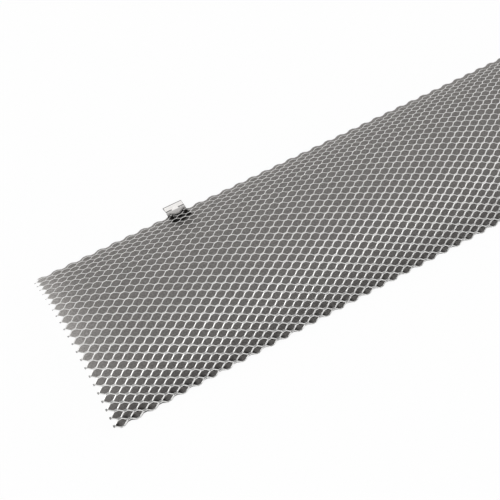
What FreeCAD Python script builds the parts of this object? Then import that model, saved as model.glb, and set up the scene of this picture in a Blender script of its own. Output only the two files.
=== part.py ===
import FreeCAD, Part
import math
import os
import Sketcher

# Gutter guard: an arched strip of raised expanded-steel mesh with bent clips on its back edge.
# X runs along the guard, +Y points to its back edge and Z is up.
# The guard lies on its front edge and its clips.

SIZES = (
    # mesh
    ("guard_length", "914.4"),
    ("long_pitch", "12.7"),
    ("short_pitch", "6.74"),
    ("ribbons_per_band", "4"),
    ("band_count", "11"),
    ("arch_radius", "103.2"),
    ("strand_width", "0.85"),
    ("strand_gauge", "0.35"),
    ("strand_lean", "38"),
    ("bond_length", "3"),
    # clips
    ("clip_inset", "127"),
    ("clip_width", "16.6"),
    ("clip_gauge", "0.6"),
    ("clip_clearance", "0.1"),
    ("leaf_length", "9"),
    ("web_length", "4.6"),
    ("web_angle", "56"),
    ("plate_depth", "6.5"),
    ("plate_angle", "28"),
    ("hem_gap", "0.2"),
    ("hem_return", "2.2"),
    ("bend_radius", "0.5"),
    ("slit_length", "5.4"),
    ("slit_width", "0.8"),
    ("ear_width", "2.4"),
    ("ear_fold", "1.9"),
)

doc = FreeCAD.newDocument("gutter_guard")
sheet = doc.addObject("Spreadsheet::Sheet", "Sizes")
for row, (name, value) in enumerate(SIZES, start=1):
    sheet.set("A%d" % row, name)
    sheet.set("B%d" % row, value)
    sheet.setAlias("B%d" % row, name)
doc.recompute()


def vec(y, z):
    """A vector across the guard."""
    return FreeCAD.Vector(0, y, z)


def shift(vector):
    return FreeCAD.Placement(vector, FreeCAD.Rotation())


def turn_about_length(degrees):
    return FreeCAD.Placement(FreeCAD.Vector(), FreeCAD.Rotation(FreeCAD.Vector(1, 0, 0), degrees))


# Shape of one ribbon of the mesh. A ribbon zigzags along the guard. Its broad faces lean, so each bond
# is a small sloping plate two strands wide: the ribbon in front makes its upper half and the ribbon
# behind its lower half.
lean = math.radians(sheet.strand_lean)
row_step = sheet.short_pitch / 2
drop = sheet.strand_width * math.sin(lean)
run = row_step - sheet.strand_width * math.cos(lean)
climb_angle = math.atan2(drop, run)
climb = math.hypot(run, drop)
edge_depth = sheet.strand_gauge / math.sin(lean + climb_angle)
climb_dir = vec(math.cos(climb_angle), math.sin(climb_angle))
lean_dir = vec(math.cos(lean), -math.sin(lean))
columns = round(sheet.guard_length / sheet.long_pitch)
half_pitch = sheet.guard_length / columns / 2


def ribbon_outline(index):
    """The upper edge face of one ribbon, cut off square through the bonds at both ends."""
    base = vec(row_step * index, 0)
    front_side = []
    back_side = []
    for step in range(2 * columns + 1):
        height = climb / 2 if (step + index) % 2 == 0 else -climb / 2
        for side in (-1, 1):
            along = step * half_pitch + side * sheet.bond_length / 2
            along = min(max(along, 0), sheet.guard_length) - sheet.guard_length / 2
            corner = base + FreeCAD.Vector(along, 0, 0)
            front_side.append(corner + climb_dir * (height - edge_depth / 2))
            back_side.append(corner + climb_dir * (height + edge_depth / 2))
    corners = front_side + back_side[::-1]
    return Part.Face(Part.makePolygon(corners + corners[:1]))


ribbons = []
for index in range(int(sheet.ribbons_per_band)):
    outline = doc.addObject("Part::Feature", "ribbon_outline_%d" % (index + 1))
    outline.Shape = ribbon_outline(index)
    ribbon = doc.addObject("Part::Extrusion", "ribbon_%d" % (index + 1))
    ribbon.Base = outline
    ribbon.DirMode = "Custom"
    ribbon.Dir = lean_dir
    ribbon.setExpression("LengthFwd", "Sizes.strand_width")
    ribbon.Solid = True
    ribbons.append(ribbon)

band = doc.addObject("Part::MultiFuse", "fused_band")
band.Shapes = ribbons
band.Refine = True
doc.recompute()

# The arch. Each band is turned down from the one in front about the front edge of their shared bonds.
band_span = row_step * sheet.ribbons_per_band
band_turn = math.degrees(band_span / sheet.arch_radius)
pivot = climb_dir * -(climb / 2 + edge_depth / 2)
to_next = shift(vec(band_span, 0) + pivot)
to_next = to_next.multiply(turn_about_length(-band_turn)).multiply(shift(-pivot))
band_places = [turn_about_length(band_turn * (sheet.band_count - 1) / 2)]
while len(band_places) < sheet.band_count:
    band_places.append(band_places[-1].multiply(to_next))

# The clip, drawn in the frame of the last band: Y across the band, Z square to it.
# The leaf lies under the mesh, the web rises behind its edge, and the plate ends in a flat hem.
last_row = row_step * (sheet.ribbons_per_band - 1)
crest_top = vec(last_row, 0) + climb_dir * (climb / 2)
crest_foot = crest_top + lean_dir * sheet.strand_width
mesh_edge = crest_foot.y + edge_depth / 2 * climb_dir.y
mesh_under = -climb_dir.z * (climb / 2 + edge_depth / 2) + lean_dir.z * sheet.strand_width
leaf_top = mesh_under - sheet.clip_clearance
ear_back = crest_top.y - edge_depth / 2 * climb_dir.y - sheet.clip_clearance
ear_under = crest_top.z + edge_depth / 2 * climb_dir.z + sheet.clip_clearance
hem_height = 2 * sheet.clip_gauge + sheet.hem_gap
SIDE_VIEW = FreeCAD.Rotation(FreeCAD.Vector(1, 1, 1), 120)


def polar(length, degrees):
    angle = math.radians(degrees)
    return FreeCAD.Vector(length * math.cos(angle), length * math.sin(angle), 0)


def closed_chain(sketch, corners):
    """Lines from corner to corner and back to the first, joined at their ends."""
    count = len(corners)
    for here in range(count):
        sketch.addGeometry(Part.LineSegment(corners[here], corners[(here + 1) % count]), False)
    for here in range(count):
        sketch.addConstraint(Sketcher.Constraint("Coincident", here, 2, (here + 1) % count, 1))


def bind(sketch, name, expression, *constraint):
    number = sketch.addConstraint(Sketcher.Constraint(*constraint))
    sketch.renameConstraint(number, name)
    sketch.setExpression("Constraints." + name, expression)


def offset_corners(outer, gauge):
    """The corners of the strap's other face, mitred at each fold."""
    normals = []
    for start, end in zip(outer, outer[1:]):
        along = (end - start).normalize()
        normals.append(FreeCAD.Vector(along.y, -along.x, 0))
    inner = [outer[0] + normals[0] * gauge]
    for corner, before, after in zip(outer[1:], normals, normals[1:]):
        inner.append(corner + (before + after) * (gauge / (1 + before.dot(after))))
    inner.append(outer[-1] + normals[-1] * gauge)
    return inner


def draw_profile(body, name):
    """The folded strap seen from its side, with every length, fold and gauge as a named constraint."""
    sketch = body.newObject("Sketcher::SketchObject", name)
    sketch.Placement = FreeCAD.Placement(FreeCAD.Vector(), SIDE_VIEW)
    legs = (
        ("leaf", sheet.leaf_length, 0),
        ("web", sheet.web_length, sheet.web_angle),
        ("plate", sheet.plate_depth, sheet.plate_angle),
        ("hem", hem_height, sheet.plate_angle - 90),
        ("tail", sheet.hem_return, sheet.plate_angle - 180),
    )
    outer = [FreeCAD.Vector(mesh_edge - sheet.leaf_length, leaf_top, 0)]
    for leg, length, angle in legs:
        outer.append(outer[-1] + polar(length, angle))
    inner = offset_corners(outer, sheet.clip_gauge)
    closed_chain(sketch, outer + inner[::-1])
    end = len(legs)
    last = 2 * end + 1
    lengths = ("Sizes.leaf_length", "Sizes.web_length", "Sizes.plate_depth",
               "2 * Sizes.clip_gauge + Sizes.hem_gap", "Sizes.hem_return")
    sketch.addConstraint(Sketcher.Constraint("Horizontal", 0))
    sketch.addConstraint(Sketcher.Constraint("DistanceX", -1, 1, 0, 1, outer[0].x))
    sketch.addConstraint(Sketcher.Constraint("DistanceY", -1, 1, 0, 1, outer[0].y))
    for number, (leg, length, angle) in enumerate(legs):
        other = last - 1 - number
        bind(sketch, leg + "_length", lengths[number], "Distance", number, length)
        bind(sketch, leg + "_gauge", "Sizes.clip_gauge", "Distance", other, 2, number, sheet.clip_gauge)
        sketch.addConstraint(Sketcher.Constraint("Parallel", number, other))
    bind(sketch, "web_slope", "Sizes.web_angle * 1deg", "Angle", 1, math.radians(sheet.web_angle))
    bind(sketch, "plate_slope", "Sizes.plate_angle * 1deg", "Angle", 2, math.radians(sheet.plate_angle))
    sketch.addConstraint(Sketcher.Constraint("Perpendicular", 2, 3))
    sketch.addConstraint(Sketcher.Constraint("Perpendicular", 3, 4))
    sketch.addConstraint(Sketcher.Constraint("Perpendicular", end - 1, end))
    sketch.addConstraint(Sketcher.Constraint("Perpendicular", 0, last))
    return sketch, outer, inner


def pad(body, name, sketch, expression):
    feature = body.newObject("PartDesign::Pad", name)
    feature.Profile = sketch
    feature.Midplane = True
    feature.setExpression("Length", expression)
    doc.recompute()
    return feature


def round_folds(body, name, base, corners, expression):
    """Fillet the fold lines that pass through the given corners of the side view."""
    picked = []
    for number, edge in enumerate(base.Shape.Edges, start=1):
        box = edge.BoundBox
        middle = FreeCAD.Vector(box.Center.y, box.Center.z, 0)
        along_fold = box.YLength + box.ZLength < sheet.clip_clearance
        if along_fold and any(middle.distanceToPoint(c) < sheet.clip_clearance for c in corners):
            picked.append("Edge%d" % number)
    feature = body.newObject("PartDesign::Fillet", name)
    feature.Base = (base, picked)
    feature.setExpression("Radius", expression)
    doc.recompute()
    return feature


def rectangle(body, name, left, right, front, back):
    """A rectangle seen from above the band."""
    sketch = body.newObject("Sketcher::SketchObject", name)
    corners = ((left, front), (right, front), (right, back), (left, back))
    closed_chain(sketch, [FreeCAD.Vector(x, y, 0) for x, y in corners])
    return sketch


def cut_through(body, name, sketch):
    feature = body.newObject("PartDesign::Pocket", name)
    feature.Profile = sketch
    feature.Type = "ThroughAll"
    feature.Midplane = True
    doc.recompute()


def draw_ear(body, name, middle):
    """The side view of an ear that comes up through an opening and folds back over the edge strand."""
    sketch = body.newObject("Sketcher::SketchObject", name)
    sketch.Placement = FreeCAD.Placement(FreeCAD.Vector(middle, 0, 0), SIDE_VIEW)
    ear_front = ear_back - sheet.clip_gauge
    ear_top = ear_under + sheet.clip_gauge
    foot = leaf_top - sheet.clip_gauge
    tip = ear_front + sheet.ear_fold
    corners = ((ear_front, foot), (ear_back, foot), (ear_back, ear_under),
               (tip, ear_under), (tip, ear_top), (ear_front, ear_top))
    closed_chain(sketch, [FreeCAD.Vector(y, z, 0) for y, z in corners])
    return sketch


def make_clip(label, centre):
    body = doc.addObject("PartDesign::Body", label)
    body.Label = label
    profile, outer, inner = draw_profile(body, label + "_profile")
    strap = pad(body, label + "_strap", profile, "Sizes.clip_width")
    strap = round_folds(body, label + "_inner_folds", strap, (outer[1], inner[2]), "Sizes.bend_radius")
    strap = round_folds(body, label + "_outer_folds", strap, (inner[1], outer[2]),
                        "Sizes.bend_radius + Sizes.clip_gauge")
    round_folds(body, label + "_hem_folds", strap, (outer[3], outer[4]), "Sizes.clip_gauge")
    half_width = sheet.clip_width / 2
    slit_front = outer[2].x + sheet.bend_radius
    lanced = ear_under - leaf_top + sheet.ear_fold
    for side, word in ((-1, "left"), (1, "right")):
        edges = sorted((side * half_width, side * (half_width - sheet.slit_length)))
        slit = rectangle(body, "%s_%s_slit_outline" % (label, word), edges[0], edges[1],
                         slit_front, slit_front + sheet.slit_width)
        cut_through(body, "%s_%s_slit" % (label, word), slit)
        middle = side * half_pitch
        window = rectangle(body, "%s_%s_window_outline" % (label, word), middle - sheet.ear_width / 2,
                           middle + sheet.ear_width / 2, ear_back - sheet.clip_gauge - lanced,
                           ear_back - sheet.clip_gauge)
        cut_through(body, "%s_%s_window" % (label, word), window)
        ear = draw_ear(body, "%s_%s_ear_outline" % (label, word), middle)
        pad(body, "%s_%s_ear" % (label, word), ear, "Sizes.ear_width")
    body.Placement = shift(FreeCAD.Vector(centre, 0, 0))
    doc.recompute()
    return body


clip_offset = sheet.guard_length / 2 - round(sheet.clip_inset / half_pitch / 2) * 2 * half_pitch
clips = [make_clip("clip_left", -clip_offset), make_clip("clip_right", clip_offset)]

# How it lies. The front crests and the clips' folds carry it, so the line between them is level.
front_low = min((band_places[0].multVec(v.Point) for v in band.Shape.Vertexes), key=lambda p: p.z)
placed_clip = clips[0].Shape.copy()
placed_clip.Placement = band_places[-1].multiply(clips[0].Placement)
clip_low = min((v.Point for v in placed_clip.Vertexes), key=lambda p: p.z)
settled = turn_about_length(math.degrees(math.atan2(front_low.z - clip_low.z, clip_low.y - front_low.y)))

nodes = []
for number, place in enumerate(band_places, start=1):
    node = doc.addObject("Part::Feature", "mesh_band_%02d" % number)
    node.Label = "mesh_band_%02d" % number
    node.Shape = band.Shape.Solids[0]
    node.Placement = settled.multiply(place)
    nodes.append(node)
for clip in clips:
    clip.Placement = settled.multiply(band_places[-1]).multiply(clip.Placement)
    nodes.append(clip)
doc.recompute()

overall = FreeCAD.BoundBox()
for node in nodes:
    overall.add(node.Shape.optimalBoundingBox(False, False))
to_floor = shift(FreeCAD.Vector(-overall.Center.x, -overall.Center.y, -overall.ZMin))
for node in nodes:
    node.Placement = to_floor.multiply(node.Placement)
doc.recompute()

for item in doc.Objects:
    if "Invalid" in item.State or "Error" in item.State:
        raise RuntimeError("%s did not build: %s" % (item.Label, item.State))
for shape in [band.Shape] + [clip.Shape for clip in clips]:
    if shape.isNull() or not shape.isValid():
        raise RuntimeError("a band or clip has no valid shape")
os.makedirs("parts", exist_ok=True)
for node in nodes:
    node.Shape.exportStep("parts/%s.step" % node.Label)
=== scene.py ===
import math

import bpy
import numpy as np
from mathutils import Matrix, Vector


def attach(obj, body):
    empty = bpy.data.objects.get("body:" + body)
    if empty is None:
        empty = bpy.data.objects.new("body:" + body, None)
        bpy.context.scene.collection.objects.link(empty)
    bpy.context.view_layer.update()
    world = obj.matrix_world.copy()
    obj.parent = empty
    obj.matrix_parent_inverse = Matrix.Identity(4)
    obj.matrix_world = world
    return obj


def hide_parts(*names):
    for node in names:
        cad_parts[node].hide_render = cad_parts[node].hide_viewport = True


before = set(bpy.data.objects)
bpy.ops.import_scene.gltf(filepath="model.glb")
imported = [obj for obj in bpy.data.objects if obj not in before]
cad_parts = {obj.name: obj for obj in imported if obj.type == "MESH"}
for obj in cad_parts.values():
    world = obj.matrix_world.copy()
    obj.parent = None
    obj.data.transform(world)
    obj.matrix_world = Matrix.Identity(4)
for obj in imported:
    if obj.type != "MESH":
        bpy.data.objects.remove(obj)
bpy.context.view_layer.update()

MM = 0.001

# Sizes of the solids, in millimetres. X runs along the guard and Y across it, towards its back edge.
LENGTH = 914.4
LONG_PITCH = 12.7
ROW_STEP = 6.74 / 2
ROWS = 44
ROWS_PER_BAND = 4
STRAND_WIDTH = 0.85
STRAND_GAUGE = 0.35
STRAND_LEAN = math.radians(38)
BOND = 3.0
CLIP_INSET = 127.0          # from the guard's end to the clip's middle
CLIP_HALF = 16.6 / 2

# The rolled curve that the flat bands follow: its radius, its centre and how far its middle is turned.
ARC_RADIUS = 103.560
ARC_Y = -4.4528
ARC_Z = -77.1632
ARC_TURN = -0.012376

# Finer shape of the ribbons, in millimetres.
CREST_ARMS = (0.6, 1.0)     # how far a crest's round reaches into its bond and down its leg
TROUGH_REACH = 0.4          # how far a trough's bend reaches either way
CREST_STEPS = np.linspace(0, 1, 5)
TROUGH_STEPS = np.linspace(-1, 1, 3)
CHAMFER = 0.07              # worn edge of the sheared strands
FUSED_SHARE = 0.02          # share of it that is left where two ribbons are fused
FUSED_REACH = 0.03          # they are fused this near to a crest or trough, as a share of the climb
WAVER = 0.035               # unevenness of the sheared and stretched sheet
WAVER_KNOTS = 73
SEED = 26
SHARP = math.radians(30)    # edges that turn by more than this are shaded sharp

# The camera, as the photograph's perspective gives it, in pixels, metres and degrees.
FOCAL_PIXELS = 975.74
PICTURE_PIXELS = 500
SENSOR = 36                 # in millimetres
NEAREST = 0.01
EYE = Vector((-0.527324, -0.288994, 0.681053))
AZIMUTH = 51.951            # heading of the view from +X
ELEVATION = 61.150          # how far it looks down
ROLL = 7.896                # how far the camera is turned about its view

# A ribbon zigzags up and down along CLIMB_DIR, and its broad faces go down along LEAN_DIR.
drop = STRAND_WIDTH * math.sin(STRAND_LEAN)
run = ROW_STEP - STRAND_WIDTH * math.cos(STRAND_LEAN)
climb = math.hypot(run, drop)
climb_angle = math.atan2(drop, run)
edge_depth = STRAND_GAUGE / math.sin(STRAND_LEAN + climb_angle)
half_pitch = LONG_PITCH / 2
half_length = LENGTH / 2 * MM
CLIMB_DIR = np.array([math.cos(climb_angle), math.sin(climb_angle)])
LEAN_DIR = np.array([math.cos(STRAND_LEAN), -math.sin(STRAND_LEAN)])
rng = np.random.default_rng(SEED)


def mesh_object(name, verts, faces):
    """A smooth mesh in the scene, with its hard edges sharp."""
    data = bpy.data.meshes.new(name)
    data.from_pydata(verts, [], faces)
    data.update()
    data.shade_smooth()
    data.set_sharp_from_angle(angle=SHARP)
    obj = bpy.data.objects.new(name, data)
    bpy.context.scene.collection.objects.link(obj)
    return obj


# The expanded mesh
def ribbon_path(row):
    """Stations along one ribbon: x, height in the zigzag, and its share of the way from trough to crest."""
    flat = BOND / 2
    leg = half_pitch - BOND
    # half a pitch, by the distance from the crest's middle: a round crest and a sharper bend at the trough
    on_flat, on_leg = CREST_ARMS
    crest = flat - on_flat * (1 - CREST_STEPS) ** 2 + on_leg * CREST_STEPS ** 2
    crest_fall = on_leg * CREST_STEPS ** 2 / leg
    trough = flat + leg + TROUGH_REACH * TROUGH_STEPS
    trough_fall = 1 - TROUGH_REACH * (1 - TROUGH_STEPS) ** 2 / (4 * leg)
    away = np.concatenate([crest, trough])
    half_level = 1 - np.concatenate([crest_fall, trough_fall])
    halves = int(round(LENGTH / half_pitch))
    xs = [0.0]
    levels = [1.0 - row % 2]
    for turn in range(halves):
        start = turn * half_pitch
        if (turn + row) % 2 == 0:
            xs.extend(start + away)
            levels.extend(half_level)
        else:
            xs.extend(start + (half_pitch - away[::-1]))
            levels.extend(half_level[::-1])
    xs.append(LENGTH)
    levels.append(float((halves + row) % 2 == 0))
    level = np.array(levels)
    return np.array(xs) - LENGTH / 2, (level - 0.5) * climb, level


def arc(w, z):
    """From the flat strip (w across it, z square to it) to the rolled one."""
    middle = (ROWS - 1) * ROW_STEP / 2
    angle = (w - middle) / ARC_RADIUS + ARC_TURN
    return ARC_Y + (ARC_RADIUS + z) * np.sin(angle), ARC_Z + (ARC_RADIUS + z) * np.cos(angle)


# A ribbon's eight corners: at its upper edge (0) or its lower one (1), on its front (-1) or back (1),
# and whether the corner lies on the sheared edge or on the broad face beside it.
CORNERS = ((0, -1, True), (0, -1, False), (1, -1, False), (1, -1, True),
           (1, 1, True), (1, 1, False), (0, 1, False), (0, 1, True))
BROAD_SIDES = (1, 5)        # the sides between these corners and the next are the sheet's own faces
ROLLED = 0                  # finish of the sheet's own faces
SHEARED = 1                 # finish of the cut ones


def ribbon(row):
    """One ribbon on the rolled strip, in metres, by station, corner and axis."""
    xs, height, level = ribbon_path(row)
    knots = np.linspace(-LENGTH / 2, LENGTH / 2, WAVER_KNOTS)
    height = height + np.interp(xs, knots, rng.normal(0, WAVER, WAVER_KNOTS))
    lower_share = np.where((level > 1 - FUSED_REACH) & (row < ROWS - 1), FUSED_SHARE, 1.0)
    upper_share = np.where((level < FUSED_REACH) & (row > 0), FUSED_SHARE, 1.0)
    corners = []
    for lower, side, on_edge in CORNERS:
        chamfer = CHAMFER * (lower_share if lower else upper_share)
        across = STRAND_WIDTH * lower
        through = edge_depth / 2
        if on_edge:
            through = through - chamfer
        else:
            across = across - chamfer if lower else across + chamfer
        lift = height + side * through
        w = row * ROW_STEP + CLIMB_DIR[0] * lift + LEAN_DIR[0] * across
        y, z = arc(w, CLIMB_DIR[1] * lift + LEAN_DIR[1] * across)
        # the uneven front edge doesn't go below the floor
        corners.append(np.stack([xs, y, np.maximum(z, 0.0)], -1))
    return np.stack(corners, 1) * MM


def band(name, rows):
    """A band of ribbons as one mesh, closed at both ends, with its two finishes."""
    verts = []
    faces = []
    finish = []
    for row in rows:
        stations = ribbon(row)
        count, sides = stations.shape[:2]
        base = len(verts)
        verts.extend(map(tuple, stations.reshape(-1, 3)))
        for here in range(base, base + (count - 1) * sides, sides):
            beyond = here + sides
            for side in range(sides):
                following = (side + 1) % sides
                faces.append((here + side, here + following, beyond + following, beyond + side))
                finish.append(ROLLED if side in BROAD_SIDES else SHEARED)
        last = base + (count - 1) * sides
        faces.append(tuple(base + side for side in reversed(range(sides))))
        faces.append(tuple(last + side for side in range(sides)))
        finish.extend((SHEARED, SHEARED))
    obj = mesh_object(name, verts, faces)
    obj.data.polygons.foreach_set("material_index", finish)
    return obj


# Helpers for materials
def nodes_of(name):
    """A new material and its empty node tree."""
    mat = bpy.data.materials.new(name)
    mat.use_nodes = True
    tree = mat.node_tree
    tree.nodes.clear()
    return mat, tree


def math_node(tree, operation, *inputs):
    """One step of arithmetic, whose inputs are floats or sockets."""
    node = tree.nodes.new("ShaderNodeMath")
    node.operation = operation
    for socket, source in zip(node.inputs, inputs):
        if isinstance(source, float):
            socket.default_value = source
        else:
            tree.links.new(source, socket)
    return node.outputs["Value"]


def ramp_node(tree, source, start, end, smooth=True):
    """0 where the source is at start and before it, and 1 at end and past it. Either may be the greater."""
    node = tree.nodes.new("ShaderNodeMapRange")
    node.interpolation_type = "SMOOTHSTEP" if smooth else "LINEAR"
    node.inputs["From Min"].default_value = start
    node.inputs["From Max"].default_value = end
    tree.links.new(source, node.inputs["Value"])
    return node.outputs["Result"]


def range_node(tree, source, low, high):
    """From 0 to 1 in the source to low to high."""
    node = tree.nodes.new("ShaderNodeMapRange")
    node.inputs["To Min"].default_value = low
    node.inputs["To Max"].default_value = high
    tree.links.new(source, node.inputs["Value"])
    return node.outputs["Result"]


def blend_colour(tree, factor, below, above):
    """The colour below where the factor is 0 and the one above where it is 1; either may be a socket."""
    node = tree.nodes.new("ShaderNodeMix")
    node.data_type = "RGBA"
    tree.links.new(factor, node.inputs["Factor"])
    for socket, colour in ((node.inputs["A"], below), (node.inputs["B"], above)):
        if isinstance(colour, tuple):
            socket.default_value = colour
        else:
            tree.links.new(colour, socket)
    return node.outputs["Result"]


def texture(tree, kind, scale):
    """A texture of the given scale, laid in the part's own frame."""
    where = tree.nodes.new("ShaderNodeTexCoord")
    node = tree.nodes.new(kind)
    node.inputs["Scale"].default_value = scale
    tree.links.new(where.outputs["Object"], node.inputs["Vector"])
    return node


def place_in_part(tree):
    """The place of a point in the part's own frame, as sockets X, Y and Z."""
    where = tree.nodes.new("ShaderNodeTexCoord")
    split = tree.nodes.new("ShaderNodeSeparateXYZ")
    tree.links.new(where.outputs["Object"], split.inputs["Vector"])
    return split.outputs


# Wear of the zinc, and shade painted onto it. Places and reaches are in metres.
# broken zinc at cut edges, darkened further as painted shade along the clip's edges and fold
BARE_STEEL_AND_SHADE = (0.16, 0.155, 0.15, 1)
# bare cut steel at the strand tips, darkened further as painted shade under them
TIP_STEEL_AND_SHADE = (0.30, 0.295, 0.29, 1)
TIP_REACH = 0.0018
# near black painted shade, in gaps under other surfaces and on the clip's leaf
PAINTED_SHADE = (0.012, 0.011, 0.010, 1)
GAP_REACH = 0.003               # how near a cover has to be
GAP_OPEN = (0.80, 0.99)         # shares of open sky at which the painted shade is whole and gone
GAP_SAMPLES = 8
EDGE_REACH = 0.0006
EDGE_TURN = (0.78, 0.98)        # cosines at the edge and where the face is clean
EDGE_SAMPLES = 4
LEAF_END = (0.0626, 0.0634)     # where across the guard the clip's leaf turns into its web
FOLD_START = (0.0722, 0.0728)   # where across it the plate's folded edge starts


def shade_in_gaps(tree, colour):
    """Painted shade, near black, where the surface is close under another."""
    cover = tree.nodes.new("ShaderNodeAmbientOcclusion")
    cover.samples = GAP_SAMPLES
    cover.inputs["Distance"].default_value = GAP_REACH
    return blend_colour(tree, ramp_node(tree, cover.outputs["AO"], *GAP_OPEN), PAINTED_SHADE, colour)


def dull_and_shaded_edges(tree, colour):
    """Cut edges of the sheet, darker where the zinc is broken and with painted shade along them."""
    rounded = tree.nodes.new("ShaderNodeBevel")
    rounded.samples = EDGE_SAMPLES
    rounded.inputs["Radius"].default_value = EDGE_REACH
    flat = tree.nodes.new("ShaderNodeNewGeometry")
    turned = tree.nodes.new("ShaderNodeVectorMath")
    turned.operation = "DOT_PRODUCT"
    tree.links.new(rounded.outputs["Normal"], turned.inputs[0])
    tree.links.new(flat.outputs["True Normal"], turned.inputs[1])
    return blend_colour(tree, ramp_node(tree, turned.outputs["Value"], *EDGE_TURN), BARE_STEEL_AND_SHADE, colour)


def shaded_leaf(tree, colour):
    """Painted shade: the clip's leaf, which lies under the mesh in front of the web, is dark all over."""
    return blend_colour(tree, ramp_node(tree, place_in_part(tree)["Y"], *LEAF_END), PAINTED_SHADE, colour)


def shaded_fold(tree, colour):
    """Painted shade: a darker line along the plate's folded far edge."""
    return blend_colour(tree, ramp_node(tree, place_in_part(tree)["Y"], *FOLD_START), colour, BARE_STEEL_AND_SHADE)


def cut_tips(tree, colour):
    """Strand tips at the two sawn ends, darker: bare cut steel, with painted shade under the tips."""
    out = math_node(tree, "ABSOLUTE", place_in_part(tree)["X"])
    tip = ramp_node(tree, out, half_length - TIP_REACH, half_length)
    return blend_colour(tree, tip, colour, TIP_STEEL_AND_SHADE)


# The zinc itself. Scales are in cells to a metre.
CLOUD_SCALE = 60.0
CLOUD_DETAIL = 5.0
CLOUD_SHARE = 0.5               # of the clouds against the flakes
FLAKE_STOPS = (0.3, 0.7)        # where the dark tone ends and the light one starts
FLAKE_DARK = 0.84               # the dark tone, as a share of the light one
FINE_SCALE = 900.0
FINE_STRENGTH = 0.12
FINE_HEIGHT = 0.0001            # in metres


def galvanized(name, tint, roughness, spangle, metallic, wear_and_shade):
    """Zinc with flakes of the spangle's scale, cloudy roughness, fine unevenness and the given wear and
    painted shade.
    """
    mat, tree = nodes_of(name)
    out = tree.nodes.new("ShaderNodeOutputMaterial")
    bsdf = tree.nodes.new("ShaderNodeBsdfPrincipled")
    bsdf.inputs["Metallic"].default_value = metallic
    tree.links.new(bsdf.outputs["BSDF"], out.inputs["Surface"])
    flakes = texture(tree, "ShaderNodeTexVoronoi", spangle)
    cloud = texture(tree, "ShaderNodeTexNoise", CLOUD_SCALE)
    cloud.inputs["Detail"].default_value = CLOUD_DETAIL
    mix = tree.nodes.new("ShaderNodeMix")
    mix.inputs["Factor"].default_value = CLOUD_SHARE
    tree.links.new(flakes.outputs["Color"], mix.inputs["A"])
    tree.links.new(cloud.outputs["Fac"], mix.inputs["B"])
    ramp = tree.nodes.new("ShaderNodeValToRGB")
    for stop, position, share in zip(ramp.color_ramp.elements, FLAKE_STOPS, (FLAKE_DARK, 1.0)):
        stop.position = position
        stop.color = (*[c * share for c in tint], 1)
    tree.links.new(mix.outputs["Result"], ramp.inputs["Fac"])
    colour = ramp.outputs["Color"]
    for marking in wear_and_shade:
        colour = marking(tree, colour)
    tree.links.new(colour, bsdf.inputs["Base Color"])
    tree.links.new(range_node(tree, cloud.outputs["Fac"], *roughness), bsdf.inputs["Roughness"])
    fine = texture(tree, "ShaderNodeTexNoise", FINE_SCALE)
    bump = tree.nodes.new("ShaderNodeBump")
    bump.inputs["Strength"].default_value = FINE_STRENGTH
    bump.inputs["Distance"].default_value = FINE_HEIGHT
    tree.links.new(fine.outputs["Fac"], bump.inputs["Height"])
    tree.links.new(bump.outputs["Normal"], bsdf.inputs["Normal"])
    return mat


zinc_mesh = galvanized("zinc_mesh", tint=(0.78, 0.775, 0.765), roughness=(0.34, 0.48),
                       spangle=300.0, metallic=1.0, wear_and_shade=[cut_tips])
zinc_sheared = galvanized("zinc_sheared", tint=(0.95, 0.943, 0.93), roughness=(0.5, 0.7),
                          spangle=700.0, metallic=0.2, wear_and_shade=[cut_tips])
zinc_clip = galvanized("zinc_clip", tint=(0.95, 0.93, 0.91), roughness=(0.36, 0.48),
                       spangle=260.0, metallic=0.7,
                       wear_and_shade=[dull_and_shaded_edges, shaded_fold, shade_in_gaps, shaded_leaf])

# The pieces
for number in range(ROWS // ROWS_PER_BAND):
    node = "mesh_band_%02d" % (number + 1)
    piece = band("expanded_" + node, range(number * ROWS_PER_BAND, (number + 1) * ROWS_PER_BAND))
    piece.data.materials.append(zinc_mesh)
    piece.data.materials.append(zinc_sheared)
    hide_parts(node)
    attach(piece, "root")

for node in ("clip_left", "clip_right"):
    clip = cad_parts[node]
    clip.data.materials.clear()
    clip.data.materials.append(zinc_clip)

# The floor: white paper, with the guard's grey shadow drawn under it. Places and reaches are in metres.
FLOOR_HALF = 4.0
PAPER = (0.95, 0.95, 0.95, 1)
WHITE_SHARE = 0.92                      # how much of the paper is seen as plain white
SHADOW = (0.224, 0.215, 0.207, 1)
DEEP_SHADOW = (0.10, 0.095, 0.092, 1)   # beside the front edge, which lies on the floor
DEEP_REACH = 0.020
END_LIGHT = (0.50, 0.48, 0.465, 1)      # what comes in at the open ends
END_REACH = 0.012
END_OPEN = (-0.05, 0.02)                # between these places across the guard the ends open up
BACK_LIGHT = 0.12                       # share of that light which comes in under the back edge
BACK_REACH = 0.010
# the painted contact shadow in the two front rows of openings
SECOND_ROW = 0.0049                     # where the second row starts, from the front edge
SECOND_ROW_STEP = 0.4                   # how far its openings are shifted, in pitches
CONTACT_SHADOW_DARK = (0.018, 0.017, 0.016, 1)
CONTACT_SHADOW_LIGHT = (0.19, 0.182, 0.175, 1)
PATCH_TURN = (0.20, 0.60)               # from dark to light along an opening, in pitches
PATCH_FADE = (0.0085, 0.0052)           # from the front edge, where there is no patch and where it is whole
# in front of each clip
CLIP_SHADOW = (0.02, 0.019, 0.018, 1)
CLIP_REACH = 0.008
CLIP_BLUR = 0.0015
# the paper's grain in the shadow
GRAIN_SCALE = 700.0
GRAIN_RANGE = (0.45, 1.55)              # shares of the shadow's tone
# the shadow's outline
EDGE_BLUR = 0.0004
EDGE_PAST = (0.8, 2.0)                  # how far it reaches past the front and back strands, in millimetres
FRONT_DRAW = 0.0006                     # how much less it does at the front, away from the near corner
FRONT_DRAW_END = -0.36                  # where along the guard it has drawn in
BACK_SPREAD = 0.0022                    # how much further it reaches at the back, towards the far end
BACK_SPREAD_END = LENGTH / 8 * MM       # where along the guard it has spread
NOTCH_FILL = 0.45                       # how far it fills the back edge's notches
END_BLUR = 0.0006
END_DEGREE = 7                          # of the curves that place the sawn ends
END_SPOTS = 60


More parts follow.
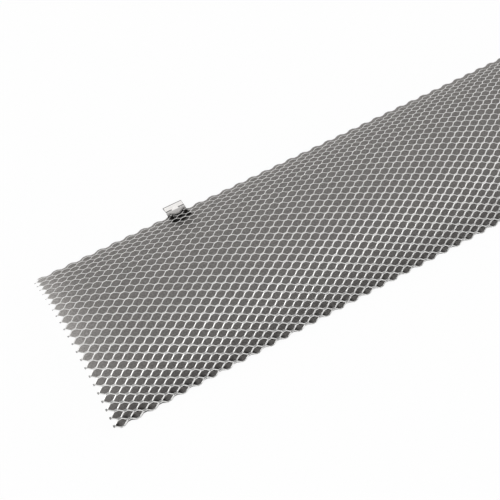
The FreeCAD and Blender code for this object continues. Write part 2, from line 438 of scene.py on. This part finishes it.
def shadow_edges():
    """Where the shadow of the first and last ribbons' crests and troughs ends: front, then back."""
    spots = []
    for row, outward, past in ((0, -1, EDGE_PAST[0]), (ROWS - 1, 1, EDGE_PAST[1])):
        for level in (0.5, -0.5):
            w = row * ROW_STEP + CLIMB_DIR[0] * level * climb + LEAN_DIR[0] * STRAND_WIDTH / 2
            z = CLIMB_DIR[1] * level * climb + LEAN_DIR[1] * STRAND_WIDTH / 2
            spots.append((float(arc(w, z)[0]) + outward * past) * MM)
    return spots


def end_shadow():
    """How the near end's zigzag falls on the floor, seen from the camera: row and shift along x, by y."""
    rows = np.linspace(0, ROWS - 1, END_SPOTS)
    y, z = arc(rows * ROW_STEP + LEAN_DIR[0] * STRAND_WIDTH / 2, LEAN_DIR[1] * STRAND_WIDTH / 2)
    slant = z * MM / (EYE.z - z * MM)
    floor_y = y * MM + (y * MM - EYE.y) * slant
    shift = (-half_length - EYE.x) * slant
    fits = [np.polyfit(floor_y, values, END_DEGREE) for values in (rows, shift)]
    return [[float(factor) for factor in fit] for fit in fits]


front_crest, front_trough, back_crest, back_trough = shadow_edges()
back_trough += (back_crest - back_trough) * NOTCH_FILL


def polynomial(tree, source, factors):
    """The sum of factors times powers of the source, highest power first."""
    total = factors[0]
    for factor in factors[1:]:
        total = math_node(tree, "MULTIPLY_ADD", total, source, factor)
    return total


def fading(tree, distance, reach):
    """1 where the distance is not below 0, and less the further below it is."""
    inside = math_node(tree, "MINIMUM", distance, 0.0)
    return math_node(tree, "EXPONENT", math_node(tree, "DIVIDE", inside, reach))


def seen_directly(tree):
    """1 for the rays that show the background: straight, mirrored and through glass."""
    path = tree.nodes.new("ShaderNodeLightPath")
    mirrored = math_node(tree, "MAXIMUM", path.outputs["Is Camera Ray"], path.outputs["Is Glossy Ray"])
    return math_node(tree, "MAXIMUM", mirrored, path.outputs["Is Transmission Ray"])


def long_edges(tree, x):
    """The shadow's two zigzag edges, front and back, as y by x."""
    turn = math_node(tree, "PINGPONG", math_node(tree, "ADD", x, half_length), half_pitch * MM)
    zig = ramp_node(tree, turn, BOND / 2 * MM, (half_pitch - BOND / 2) * MM, smooth=False)
    front = math_node(tree, "MULTIPLY_ADD", zig, front_trough - front_crest, front_crest)
    drawn = ramp_node(tree, x, -half_length, FRONT_DRAW_END)
    front = math_node(tree, "MULTIPLY_ADD", drawn, FRONT_DRAW, front)
    back = math_node(tree, "MULTIPLY_ADD", zig, back_crest - back_trough, back_trough)
    spread = ramp_node(tree, x, -half_length, BACK_SPREAD_END, smooth=False)
    back = math_node(tree, "MULTIPLY_ADD", spread, BACK_SPREAD, back)
    return front, back


def outside_shadow(tree, x, y, front, back):
    """1 on the white paper and 0 in the shadow."""
    before = ramp_node(tree, math_node(tree, "SUBTRACT", front, y), -EDGE_BLUR, EDGE_BLUR)
    behind = ramp_node(tree, math_node(tree, "SUBTRACT", y, back), -EDGE_BLUR, EDGE_BLUR)
    # at the sawn ends, the openings that are cut through are white as far as the next bonds
    row_factors, shift_factors = end_shadow()
    between_rows = math_node(tree, "SUBTRACT", polynomial(tree, y, row_factors), 0.5)
    from_bond = math_node(tree, "PINGPONG", between_rows, 1.0)
    notch = math_node(tree, "MULTIPLY_ADD", from_bond, (half_pitch - BOND) * MM, BOND / 2 * MM)
    notch = math_node(tree, "ADD", notch, polynomial(tree, y, shift_factors))
    past = math_node(tree, "ADD", math_node(tree, "ABSOLUTE", x), notch)
    ends = ramp_node(tree, past, half_length - END_BLUR, half_length + END_BLUR)
    return math_node(tree, "MAXIMUM", math_node(tree, "MAXIMUM", before, behind), ends)


def shadow_colour(tree, x, y, back):
    """The shadow's tones: deep in front, lighter at the ends and the back, and darkest by the clips."""
    past_end = math_node(tree, "SUBTRACT", math_node(tree, "ABSOLUTE", x), half_length)
    past_back = math_node(tree, "SUBTRACT", y, back)
    depth = fading(tree, math_node(tree, "SUBTRACT", front_trough, y), DEEP_REACH)
    glow = fading(tree, past_end, END_REACH)
    glow = math_node(tree, "MULTIPLY", glow, ramp_node(tree, y, *END_OPEN))
    back_glow = math_node(tree, "MULTIPLY", fading(tree, past_back, BACK_REACH), BACK_LIGHT)
    glow = math_node(tree, "MAXIMUM", glow, back_glow)
    colour = blend_colour(tree, glow, blend_colour(tree, depth, SHADOW, DEEP_SHADOW), END_LIGHT)
    # painted contact shadow: in the two front rows each opening is black at its left and lighter at its
    # right
    from_front = math_node(tree, "SUBTRACT", y, front_trough)
    second_row = ramp_node(tree, from_front, SECOND_ROW - EDGE_BLUR, SECOND_ROW + EDGE_BLUR)
    along = math_node(tree, "DIVIDE", math_node(tree, "ADD", x, half_length), LONG_PITCH * MM)
    along = math_node(tree, "FRACT", math_node(tree, "MULTIPLY_ADD", second_row, SECOND_ROW_STEP, along))
    patch = blend_colour(tree, ramp_node(tree, along, *PATCH_TURN), CONTACT_SHADOW_DARK, CONTACT_SHADOW_LIGHT)
    colour = blend_colour(tree, ramp_node(tree, from_front, *PATCH_FADE), colour, patch)
    grain = texture(tree, "ShaderNodeTexNoise", GRAIN_SCALE)
    grained = tree.nodes.new("ShaderNodeVectorMath")
    grained.operation = "SCALE"
    tree.links.new(colour, grained.inputs["Vector"])
    tree.links.new(range_node(tree, grain.outputs["Fac"], *GRAIN_RANGE), grained.inputs["Scale"])
    # the clips stand close to the floor and shade it most
    from_clip = math_node(tree, "ABSOLUTE", math_node(tree, "ADD", past_end, CLIP_INSET * MM))
    beside = ramp_node(tree, from_clip, CLIP_HALF * MM + CLIP_BLUR, CLIP_HALF * MM - CLIP_BLUR)
    reached = ramp_node(tree, past_back, -CLIP_REACH - CLIP_BLUR, -CLIP_REACH + CLIP_BLUR)
    by_clip = math_node(tree, "MULTIPLY", beside, reached)
    return blend_colour(tree, by_clip, grained.outputs["Vector"], CLIP_SHADOW)


def paper_with_shadow():
    """Matte paper with the shadow on it, and plain white around the shadow where it is seen directly."""
    mat, tree = nodes_of("paper")
    place = place_in_part(tree)
    x = place["X"]
    y = place["Y"]
    front, back = long_edges(tree, x)
    outside = outside_shadow(tree, x, y, front, back)
    matte = tree.nodes.new("ShaderNodeBsdfDiffuse")
    tone = blend_colour(tree, outside, shadow_colour(tree, x, y, back), PAPER)
    tree.links.new(tone, matte.inputs["Color"])
    white = tree.nodes.new("ShaderNodeEmission")
    white.inputs["Strength"].default_value = 1.0
    plain = math_node(tree, "MULTIPLY", outside, seen_directly(tree))
    plain = math_node(tree, "MULTIPLY", plain, WHITE_SHARE)
    both = tree.nodes.new("ShaderNodeMixShader")
    tree.links.new(plain, both.inputs["Fac"])
    tree.links.new(matte.outputs["BSDF"], both.inputs[1])
    tree.links.new(white.outputs["Emission"], both.inputs[2])
    out = tree.nodes.new("ShaderNodeOutputMaterial")
    tree.links.new(both.outputs["Shader"], out.inputs["Surface"])
    return mat


floor_corners = [(-FLOOR_HALF, -FLOOR_HALF, 0), (FLOOR_HALF, -FLOOR_HALF, 0),
                 (FLOOR_HALF, FLOOR_HALF, 0), (-FLOOR_HALF, FLOOR_HALF, 0)]
floor = mesh_object("floor", floor_corners, [(0, 1, 2, 3)])
floor.data.materials.append(paper_with_shadow())

# The light: a bright ring of walls with a darker ceiling, and three soft lamps
ROOM = ((0.0, 1.0), (0.6, 1.0), (0.87, 0.25), (1.0, 0.18))  # sine of the elevation, and brightness

world = bpy.data.worlds.new("studio")
bpy.context.scene.world = world
world.use_nodes = True
tree = world.node_tree
sky = tree.nodes["Background"]
sky.inputs["Strength"].default_value = 1.0
heading = tree.nodes.new("ShaderNodeTexCoord")
split = tree.nodes.new("ShaderNodeSeparateXYZ")
tree.links.new(heading.outputs["Generated"], split.inputs["Vector"])
room = tree.nodes.new("ShaderNodeValToRGB")
stops = room.color_ramp.elements
for inner in ROOM[1:-1]:
    stops.new(inner[0])
for stop, (height, level) in zip(stops, ROOM):
    stop.position = height
    stop.color = (level, level, level, 1)
tree.links.new(split.outputs["Z"], room.inputs["Fac"])
tree.links.new(room.outputs["Color"], sky.inputs["Color"])


def direction(azimuth, elevation):
    """A unit vector, from its heading from +X and its height above the floor, in degrees."""
    a = math.radians(azimuth)
    e = math.radians(elevation)
    return Vector((math.cos(a) * math.cos(e), math.sin(a) * math.cos(e), math.sin(e)))


def sun(name, azimuth, elevation, strength, angle):
    """A soft lamp far away in the given direction; its angle is how wide it looks."""
    light = bpy.data.lights.new(name, "SUN")
    light.energy = strength
    light.angle = math.radians(angle)
    obj = bpy.data.objects.new(name, light)
    obj.rotation_euler = direction(azimuth, elevation).to_track_quat("Z", "Y").to_euler()
    bpy.context.scene.collection.objects.link(obj)


# as the camera sees it: from the left, from behind the guard, and low from the camera's own side
sun("key", azimuth=142, elevation=38, strength=1.05, angle=40)
sun("rim", azimuth=50, elevation=42, strength=0.22, angle=40)
sun("fill", azimuth=240, elevation=15, strength=0.5, angle=30)

# The camera
camera_data = bpy.data.cameras.new("camera")
camera_data.lens = FOCAL_PIXELS / PICTURE_PIXELS * SENSOR
camera_data.sensor_width = SENSOR
camera_data.clip_start = NEAREST
camera = bpy.data.objects.new("camera", camera_data)
look = direction(AZIMUTH, -ELEVATION)
level_right = look.cross(Vector((0, 0, 1))).normalized()
level_up = level_right.cross(look)
roll = math.radians(ROLL)
right = level_right * math.cos(roll) + level_up * math.sin(roll)
up = level_up * math.cos(roll) - level_right * math.sin(roll)
camera.matrix_world = Matrix((
    (right.x, up.x, -look.x, EYE.x),
    (right.y, up.y, -look.y, EYE.y),
    (right.z, up.z, -look.z, EYE.z),
    (0, 0, 0, 1),
))
bpy.context.scene.collection.objects.link(camera)
bpy.context.scene.camera = camera
bpy.context.scene.view_settings.view_transform = "Standard"
